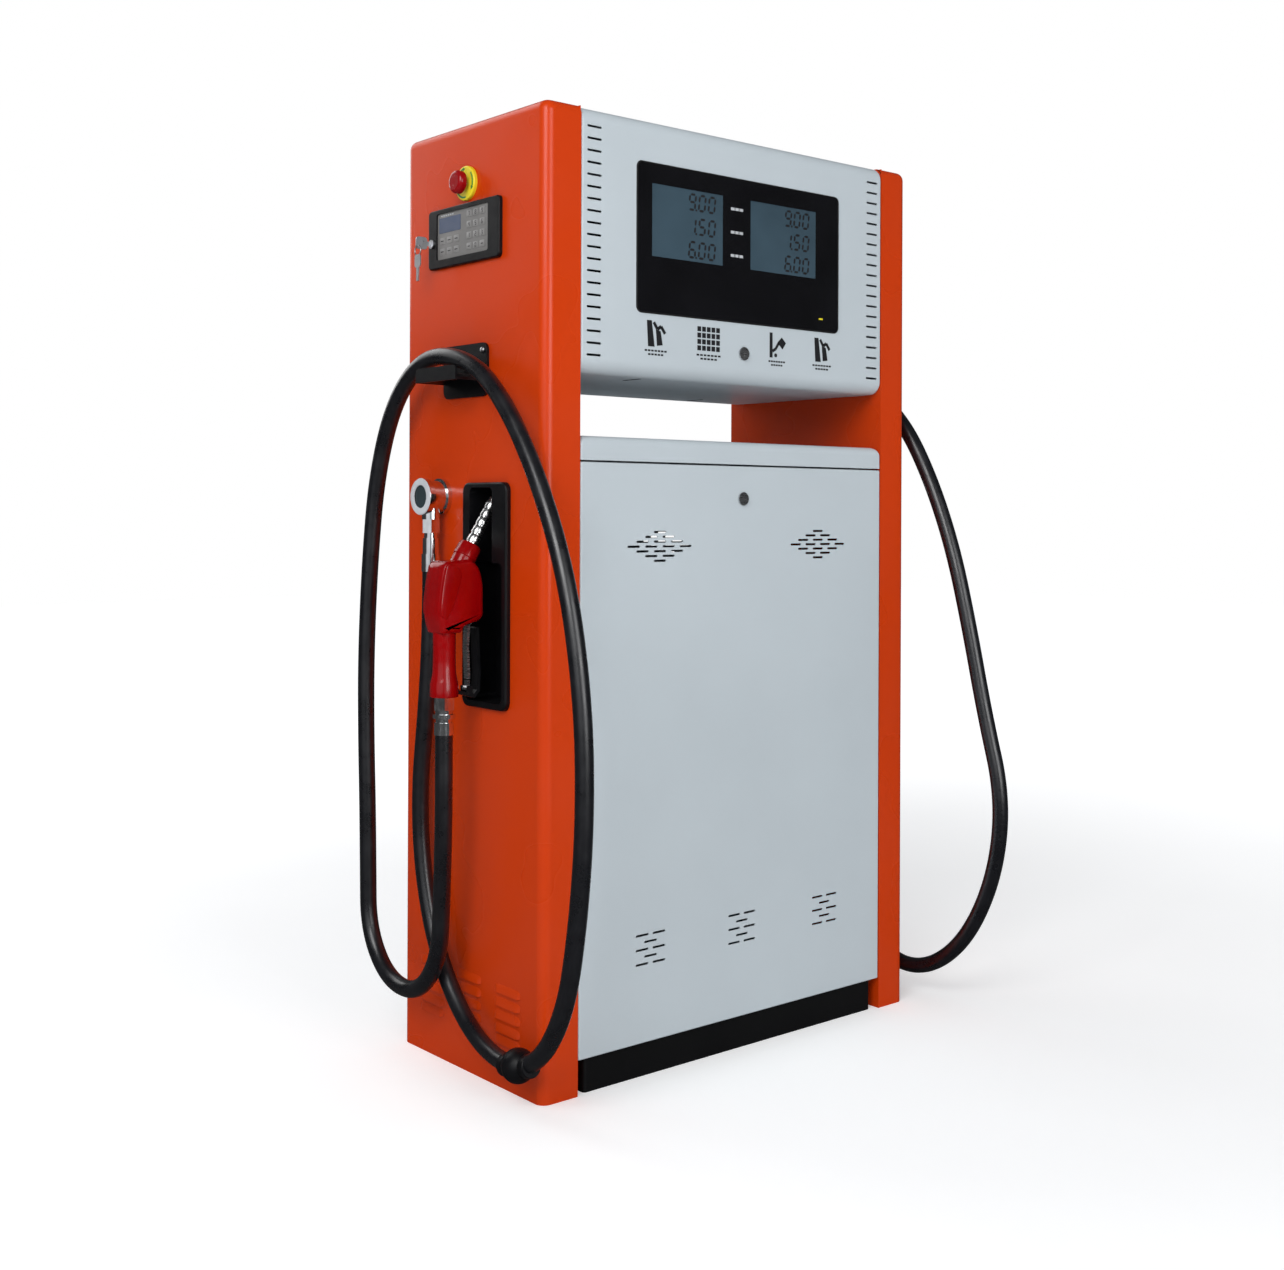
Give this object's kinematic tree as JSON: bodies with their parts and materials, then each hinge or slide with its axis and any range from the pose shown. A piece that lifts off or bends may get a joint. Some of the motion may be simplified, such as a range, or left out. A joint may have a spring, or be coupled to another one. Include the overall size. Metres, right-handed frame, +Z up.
{
  "type": "fuel dispenser",
  "caption": "Two-sided fuel dispenser: cabinet with lift-off doors, end pillars, raised display head, and a nozzle with an overhung hose on each end.",
  "frame": {"origin": "middle of the base, on the ground", "axes": "+Z up, -Y to the front, +X to the right seen from the front"},
  "size_m": [1.112, 0.7318, 1.6545],
  "materials": {
    "orange_paint": "gloss powder coat",
    "white_paint": "satin powder coat",
    "black_paint": "satin powder coat",
    "galvanised": "galvanised sheet",
    "window_black": "gloss",
    "lcd_grey": "gloss display",
    "chrome": "polished",
    "zinc": "zinc plated",
    "hose_rubber": "smooth with a sheen",
    "black_plastic": "fine moulded grain",
    "red_plastic": "glossy vinyl",
    "red_button": "gloss",
    "yellow_plastic": "gloss",
    "silver_panel": "printed film",
    "sight_glass": "gloss",
    "cast_aluminium": "cast",
    "cast_iron": "painted casting",
    "belt_rubber": "ribbed",
    "pipe_metal": "grey primer",
    "box_grey": "hammer finish"
  },
  "bodies": {
    "root": {"cabinet_top_cover": "white_paint", "drive_belt": "belt_rubber", "electronics_boxes": "box_grey", "estop_collars": "yellow_plastic", "flow_meters": "cast_aluminium", "fuel_pipes": "pipe_metal", "head_case": "white_paint", "hose_couplings": "chrome", "hose_hooks": "black_plastic", "inner_frame": "galvanised", "keypad_bezels": "black_plastic", "keypad_panels": "silver_panel", "left_hose": "hose_rubber", "left_hose_ball": "black_plastic", "left_pillar": "orange_paint", "motor_body": "cast_iron", "nozzle_boots": "black_plastic", "plinth_panels": "black_paint", "pump_body": "cast_iron", "right_hose": "hose_rubber", "right_hose_ball": "black_plastic", "right_pillar": "orange_paint", "sight_glass_bodies": "chrome", "sight_glasses": "sight_glass", "solenoid_valves": "zinc"},
    "front_display": {"front_display_door": "white_paint", "front_display_window": "window_black", "front_display_lcds": "lcd_grey"},
    "front_head_lock": {"front_head_lock": "zinc"},
    "front_cabinet_panel": {"front_cabinet_door": "white_paint"},
    "front_cabinet_lock": {"front_cabinet_lock": "zinc"},
    "rear_display": {"rear_display_door": "white_paint", "rear_display_window": "window_black", "rear_display_lcds": "lcd_grey"},
    "rear_head_lock": {"rear_head_lock": "zinc"},
    "rear_cabinet_panel": {"rear_cabinet_door": "white_paint"},
    "rear_cabinet_lock": {"rear_cabinet_lock": "zinc"},
    "left_estop_stem": {"left_estop_stem": "zinc"},
    "left_estop_head": {"left_estop_head": "red_button"},
    "left_keypad_key": {"left_keypad_key": "zinc"},
    "left_nozzle": {"left_nozzle_spout": "cast_aluminium", "left_nozzle_cover": "red_plastic", "left_nozzle_guard": "black_plastic"},
    "left_lever": {"left_nozzle_lever": "zinc"},
    "left_latch": {"left_nozzle_latch": "zinc"},
    "left_swivel": {"left_nozzle_swivel": "chrome"},
    "left_meter_shaft": {"left_meter_shaft": "zinc"},
    "right_estop_stem": {"right_estop_stem": "zinc"},
    "right_estop_head": {"right_estop_head": "red_button"},
    "right_keypad_key": {"right_keypad_key": "zinc"},
    "right_nozzle": {"right_nozzle_spout": "cast_aluminium", "right_nozzle_cover": "red_plastic", "right_nozzle_guard": "black_plastic"},
    "right_lever": {"right_nozzle_lever": "zinc"},
    "right_latch": {"right_nozzle_latch": "zinc"},
    "right_swivel": {"right_nozzle_swivel": "chrome"},
    "right_meter_shaft": {"right_meter_shaft": "zinc"},
    "motor_pulley": {"motor_pulley": "zinc"},
    "pump_pulley": {"pump_pulley": "zinc"}
  },
  "joints": [
    {"name": "front_display_hinge", "type": "hinge", "parent": "root", "child": "front_display", "pos_m": [0, -0.176, 1.65], "axis": [-1, 0, 0], "range_deg": [0, 80]},
    {"name": "front_head_lock_turn", "type": "hinge", "parent": "front_display", "child": "front_head_lock", "pos_m": [0, -0.214, 1.26], "axis": [0, 1, 0], "range_deg": [0, 90]},
    {"name": "front_cabinet_hinge", "type": "hinge", "parent": "root", "child": "front_cabinet_panel", "pos_m": [0, -0.202, 0.071], "axis": [1, 0, 0], "range_deg": [0, 15]},
    {"name": "front_cabinet_lock_turn", "type": "hinge", "parent": "front_cabinet_panel", "child": "front_cabinet_lock", "pos_m": [0, -0.214, 0.997], "axis": [0, 1, 0], "range_deg": [0, 90]},
    {"name": "rear_display_hinge", "type": "hinge", "parent": "root", "child": "rear_display", "pos_m": [0, 0.176, 1.65], "axis": [1, 0, 0], "range_deg": [0, 80]},
    {"name": "rear_head_lock_turn", "type": "hinge", "parent": "rear_display", "child": "rear_head_lock", "pos_m": [0, 0.214, 1.26], "axis": [0, -1, 0], "range_deg": [0, 90]},
    {"name": "rear_cabinet_hinge", "type": "hinge", "parent": "root", "child": "rear_cabinet_panel", "pos_m": [0, 0.202, 0.071], "axis": [-1, 0, 0], "range_deg": [0, 15]},
    {"name": "rear_cabinet_lock_turn", "type": "hinge", "parent": "rear_cabinet_panel", "child": "rear_cabinet_lock", "pos_m": [0, 0.214, 0.997], "axis": [0, -1, 0], "range_deg": [0, 90]},
    {"name": "left_estop_push", "type": "slide", "parent": "root", "child": "left_estop_stem", "axis": [1, 0, 0], "range_m": [0, 0.006], "stiffness_N_per_m": 900},
    {"name": "left_estop_twist", "type": "hinge", "parent": "left_estop_stem", "child": "left_estop_head", "pos_m": [-0.465, 0.013, 1.543], "axis": [1, 0, 0], "range_deg": [0, 45], "stiffness_Nm_per_rad": 0.15},
    {"name": "left_key_turn", "type": "hinge", "parent": "root", "child": "left_keypad_key", "pos_m": [-0.455, 0.114, 1.449], "axis": [1, 0, 0], "range_deg": [0, 90]},
    {"name": "left_nozzle_lift", "type": "slide", "parent": "root", "child": "left_nozzle", "axis": [-0.9659, 0, 0.2588], "range_m": [0, 0.15]},
    {"name": "left_lever_squeeze", "type": "hinge", "parent": "left_nozzle", "child": "left_lever", "pos_m": [-0.483, -0.045, 0.786], "axis": [0, 1, 0], "range_deg": [0, 13], "stiffness_Nm_per_rad": 1.5},
    {"name": "left_latch_swing", "type": "hinge", "parent": "left_nozzle", "child": "left_latch", "pos_m": [-0.484, -0.045, 0.672], "axis": [0, 1, 0], "range_deg": [0, 30], "stiffness_Nm_per_rad": 0.05},
    {"name": "left_swivel_turn", "type": "hinge", "parent": "left_nozzle", "child": "left_swivel", "pos_m": [-0.529, -0.045, 0.63], "axis": [0, 0, 1], "continuous": true},
    {"name": "left_meter_turn", "type": "hinge", "parent": "root", "child": "left_meter_shaft", "pos_m": [-0.235, 0.02, 0.7], "axis": [0, 0, 1], "continuous": true},
    {"name": "right_estop_push", "type": "slide", "parent": "root", "child": "right_estop_stem", "axis": [-1, 0, 0], "range_m": [0, 0.006], "stiffness_N_per_m": 900},
    {"name": "right_estop_twist", "type": "hinge", "parent": "right_estop_stem", "child": "right_estop_head", "pos_m": [0.465, -0.013, 1.543], "axis": [-1, 0, 0], "range_deg": [0, 45], "stiffness_Nm_per_rad": 0.15},
    {"name": "right_key_turn", "type": "hinge", "parent": "root", "child": "right_keypad_key", "pos_m": [0.455, -0.114, 1.449], "axis": [-1, 0, 0], "range_deg": [0, 90]},
    {"name": "right_nozzle_lift", "type": "slide", "parent": "root", "child": "right_nozzle", "axis": [0.9659, 0, 0.2588], "range_m": [0, 0.15]},
    {"name": "right_lever_squeeze", "type": "hinge", "parent": "right_nozzle", "child": "right_lever", "pos_m": [0.483, 0.045, 0.786], "axis": [0, -1, 0], "range_deg": [0, 13], "stiffness_Nm_per_rad": 1.5},
    {"name": "right_latch_swing", "type": "hinge", "parent": "right_nozzle", "child": "right_latch", "pos_m": [0.484, 0.045, 0.672], "axis": [0, -1, 0], "range_deg": [0, 30], "stiffness_Nm_per_rad": 0.05},
    {"name": "right_swivel_turn", "type": "hinge", "parent": "right_nozzle", "child": "right_swivel", "pos_m": [0.529, 0.045, 0.63], "axis": [0, 0, 1], "continuous": true},
    {"name": "right_meter_turn", "type": "hinge", "parent": "root", "child": "right_meter_shaft", "pos_m": [0.235, -0.02, 0.7], "axis": [0, 0, 1], "continuous": true},
    {"name": "motor_spin", "type": "hinge", "parent": "root", "child": "motor_pulley", "pos_m": [0.17, -0.1, 0.19], "axis": [0, 1, 0], "continuous": true},
    {"name": "pump_spin", "type": "hinge", "parent": "root", "child": "pump_pulley", "pos_m": [-0.13, -0.1, 0.19], "axis": [0, 1, 0], "continuous": true}
  ],
  "couplings": [
    {"joint": "pump_spin", "follows": "motor_spin", "ratio": 0.47977}
  ]
}
